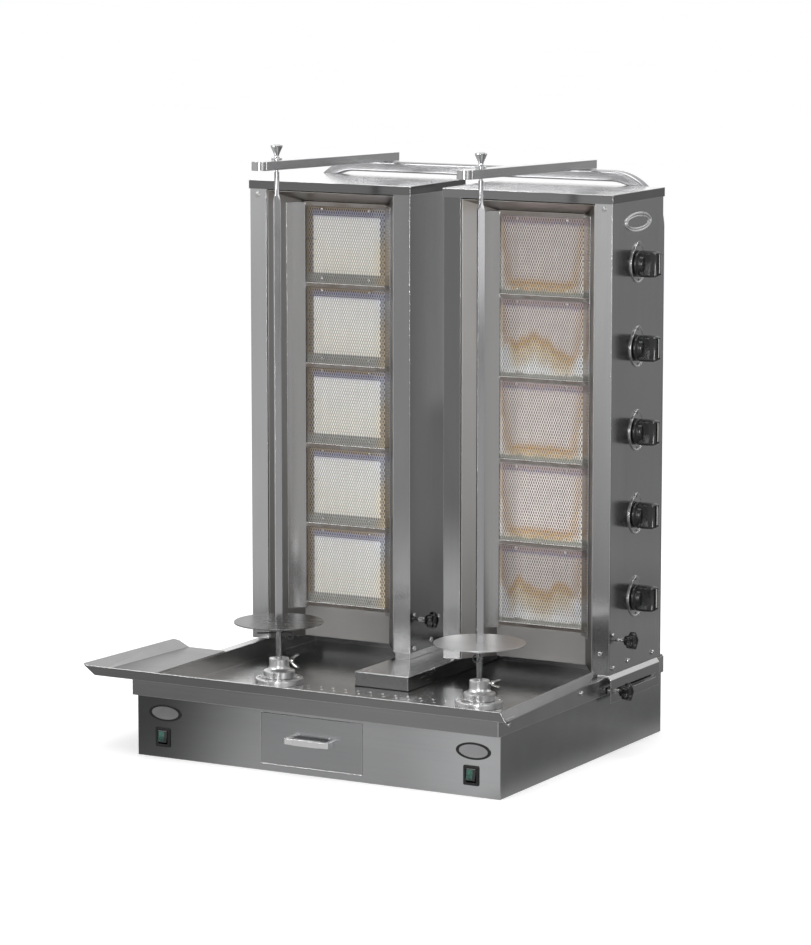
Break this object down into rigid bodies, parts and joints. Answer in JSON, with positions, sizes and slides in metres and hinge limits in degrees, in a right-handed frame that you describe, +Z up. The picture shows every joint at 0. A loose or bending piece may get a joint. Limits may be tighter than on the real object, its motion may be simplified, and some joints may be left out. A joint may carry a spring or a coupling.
{
  "type": "double vertical rotisserie broiler",
  "caption": "Countertop vertical rotisserie broiler with two gas radiant burner towers, two driven spits with plates, drip tray and drawer.",
  "frame": {"origin": "centre of the base cabinet's footprint, on the plane it stands on", "axes": "+Z up, front (drawer, switches, spits) faces -Y, +X to the right seen from the front"},
  "size_m": [0.896, 0.661, 1.0899],
  "materials": {
    "brushed_stainless": "directional satin brushing, slight blue-brown heat tint near the burners",
    "dark_stainless": "heat-darkened stainless",
    "spit_steel": "ground and polished bar",
    "knob_chrome": "mirror chrome",
    "turned_aluminium": "bright turned with fine rings",
    "burner_ceramic": "matt perforated ceramic",
    "gas_brass": "machined brass",
    "black_plastic": "gloss black phenolic",
    "switch_green": "translucent green rocker",
    "spring_wire": "oiled spring wire"
  },
  "bodies": {
    "base": {"base_cabinet": "brushed_stainless", "drip_tray": "brushed_stainless", "catch_frame": "brushed_stainless", "centre_channel_cover": "brushed_stainless", "rear_frame": "brushed_stainless", "spit_drive_left": "turned_aluminium", "spit_drive_right": "turned_aluminium", "spit_arm_left": "brushed_stainless", "spit_arm_right": "brushed_stainless"},
    "spit_left": {"spit_hub_left": "turned_aluminium", "spit_left": "spit_steel", "spit_clip_left": "spring_wire"},
    "plate_left": {"meat_plate_left": "brushed_stainless"},
    "pin_left": {"lock_pin_left": "knob_chrome"},
    "switch_left": {"rocker_left": "switch_green"},
    "tower_left": {"tower_casing_left": "brushed_stainless", "tower_cap_left": "brushed_stainless", "tower_liner_left": "brushed_stainless", "burner_guard_left": "dark_stainless", "gas_manifold_left": "gas_brass", "tower_carriage_left": "brushed_stainless", "burner_left_1": "burner_ceramic", "burner_left_2": "burner_ceramic", "burner_left_3": "burner_ceramic", "burner_left_4": "burner_ceramic", "burner_left_5": "burner_ceramic"},
    "tower_clamp_left": {"tower_clamp_knob_left": "black_plastic"},
    "knob_left_1": {"gas_knob_left_1": "black_plastic"},
    "knob_left_2": {"gas_knob_left_2": "black_plastic"},
    "knob_left_3": {"gas_knob_left_3": "black_plastic"},
    "knob_left_4": {"gas_knob_left_4": "black_plastic"},
    "knob_left_5": {"gas_knob_left_5": "black_plastic"},
    "spit_right": {"spit_hub_right": "turned_aluminium", "spit_right": "spit_steel", "spit_clip_right": "spring_wire"},
    "plate_right": {"meat_plate_right": "brushed_stainless"},
    "pin_right": {"lock_pin_right": "knob_chrome"},
    "switch_right": {"rocker_right": "switch_green"},
    "tower_right": {"tower_casing_right": "brushed_stainless", "tower_cap_right": "brushed_stainless", "tower_liner_right": "brushed_stainless", "burner_guard_right": "dark_stainless", "gas_manifold_right": "gas_brass", "tower_carriage_right": "brushed_stainless", "burner_right_1": "burner_ceramic", "burner_right_2": "burner_ceramic", "burner_right_3": "burner_ceramic", "burner_right_4": "burner_ceramic", "burner_right_5": "burner_ceramic"},
    "tower_clamp_right": {"tower_clamp_knob_right": "black_plastic"},
    "slide_clamp_right": {"slide_clamp_knob_right": "black_plastic"},
    "knob_right_1": {"gas_knob_right_1": "black_plastic"},
    "knob_right_2": {"gas_knob_right_2": "black_plastic"},
    "knob_right_3": {"gas_knob_right_3": "black_plastic"},
    "knob_right_4": {"gas_knob_right_4": "black_plastic"},
    "knob_right_5": {"gas_knob_right_5": "black_plastic"},
    "drawer": {"drawer_box": "brushed_stainless", "drawer_handle": "knob_chrome"}
  },
  "joints": [
    {"name": "spit_left_spin", "type": "hinge", "parent": "base", "child": "spit_left", "pos_m": [-0.202, -0.101, 0.16], "axis": [0, 0, 1], "continuous": true},
    {"name": "plate_left_lift", "type": "slide", "parent": "spit_left", "child": "plate_left", "axis": [0, 0, 1], "range_m": [0, 0.25]},
    {"name": "pin_left_lift", "type": "slide", "parent": "base", "child": "pin_left", "axis": [0, 0, 1], "range_m": [0, 0.022]},
    {"name": "switch_left_rock", "type": "hinge", "parent": "base", "child": "switch_left", "pos_m": [-0.315, -0.309, 0.037], "axis": [1, 0, 0], "range_deg": [0, 16]},
    {"name": "tower_left_slide", "type": "slide", "parent": "base", "child": "tower_left", "axis": [0, -1, 0], "range_m": [0, 0.03]},
    {"name": "tower_clamp_left_turn", "type": "hinge", "parent": "tower_left", "child": "tower_clamp_left", "pos_m": [-0.0287, 0.115, 0.207], "axis": [1, 0, 0], "range_deg": [0, 360]},
    {"name": "gas_knob_left_1_turn", "type": "hinge", "parent": "tower_left", "child": "knob_left_1", "pos_m": [-0.3693, 0.184, 0.879], "axis": [-1, 0, 0], "range_deg": [0, 180]},
    {"name": "gas_knob_left_2_turn", "type": "hinge", "parent": "tower_left", "child": "knob_left_2", "pos_m": [-0.3693, 0.184, 0.7276], "axis": [-1, 0, 0], "range_deg": [0, 180]},
    {"name": "gas_knob_left_3_turn", "type": "hinge", "parent": "tower_left", "child": "knob_left_3", "pos_m": [-0.3693, 0.184, 0.5762], "axis": [-1, 0, 0], "range_deg": [0, 180]},
    {"name": "gas_knob_left_4_turn", "type": "hinge", "parent": "tower_left", "child": "knob_left_4", "pos_m": [-0.3693, 0.184, 0.4248], "axis": [-1, 0, 0], "range_deg": [0, 180]},
    {"name": "gas_knob_left_5_turn", "type": "hinge", "parent": "tower_left", "child": "knob_left_5", "pos_m": [-0.3693, 0.184, 0.2734], "axis": [-1, 0, 0], "range_deg": [0, 180]},
    {"name": "spit_right_spin", "type": "hinge", "parent": "base", "child": "spit_right", "pos_m": [0.212, -0.101, 0.16], "axis": [0, 0, 1], "continuous": true},
    {"name": "plate_right_lift", "type": "slide", "parent": "spit_right", "child": "plate_right", "axis": [0, 0, 1], "range_m": [0, 0.25]},
    {"name": "pin_right_lift", "type": "slide", "parent": "base", "child": "pin_right", "axis": [0, 0, 1], "range_m": [0, 0.022]},
    {"name": "switch_right_rock", "type": "hinge", "parent": "base", "child": "switch_right", "pos_m": [0.312, -0.309, 0.037], "axis": [1, 0, 0], "range_deg": [0, 16]},
    {"name": "tower_right_slide", "type": "slide", "parent": "base", "child": "tower_right", "axis": [0, -1, 0], "range_m": [0, 0.03]},
    {"name": "tower_clamp_right_turn", "type": "hinge", "parent": "tower_right", "child": "tower_clamp_right", "pos_m": [0.3794, 0.115, 0.207], "axis": [1, 0, 0], "range_deg": [0, 360]},
    {"name": "slide_clamp_right_turn", "type": "hinge", "parent": "base", "child": "slide_clamp_right", "pos_m": [0.382, 0.0925, 0.118], "axis": [1, 0, 0], "range_deg": [0, 360]},
    {"name": "gas_knob_right_1_turn", "type": "hinge", "parent": "tower_right", "child": "knob_right_1", "pos_m": [0.38, 0.184, 0.879], "axis": [1, 0, 0], "range_deg": [0, 180]},
    {"name": "gas_knob_right_2_turn", "type": "hinge", "parent": "tower_right", "child": "knob_right_2", "pos_m": [0.38, 0.184, 0.7276], "axis": [1, 0, 0], "range_deg": [0, 180]},
    {"name": "gas_knob_right_3_turn", "type": "hinge", "parent": "tower_right", "child": "knob_right_3", "pos_m": [0.38, 0.184, 0.5762], "axis": [1, 0, 0], "range_deg": [0, 180]},
    {"name": "gas_knob_right_4_turn", "type": "hinge", "parent": "tower_right", "child": "knob_right_4", "pos_m": [0.38, 0.184, 0.4248], "axis": [1, 0, 0], "range_deg": [0, 180]},
    {"name": "gas_knob_right_5_turn", "type": "hinge", "parent": "tower_right", "child": "knob_right_5", "pos_m": [0.38, 0.184, 0.2734], "axis": [1, 0, 0], "range_deg": [0, 180]},
    {"name": "drawer_slide", "type": "slide", "parent": "base", "child": "drawer", "axis": [0, -1, 0], "range_m": [0, 0.26]}
  ]
}
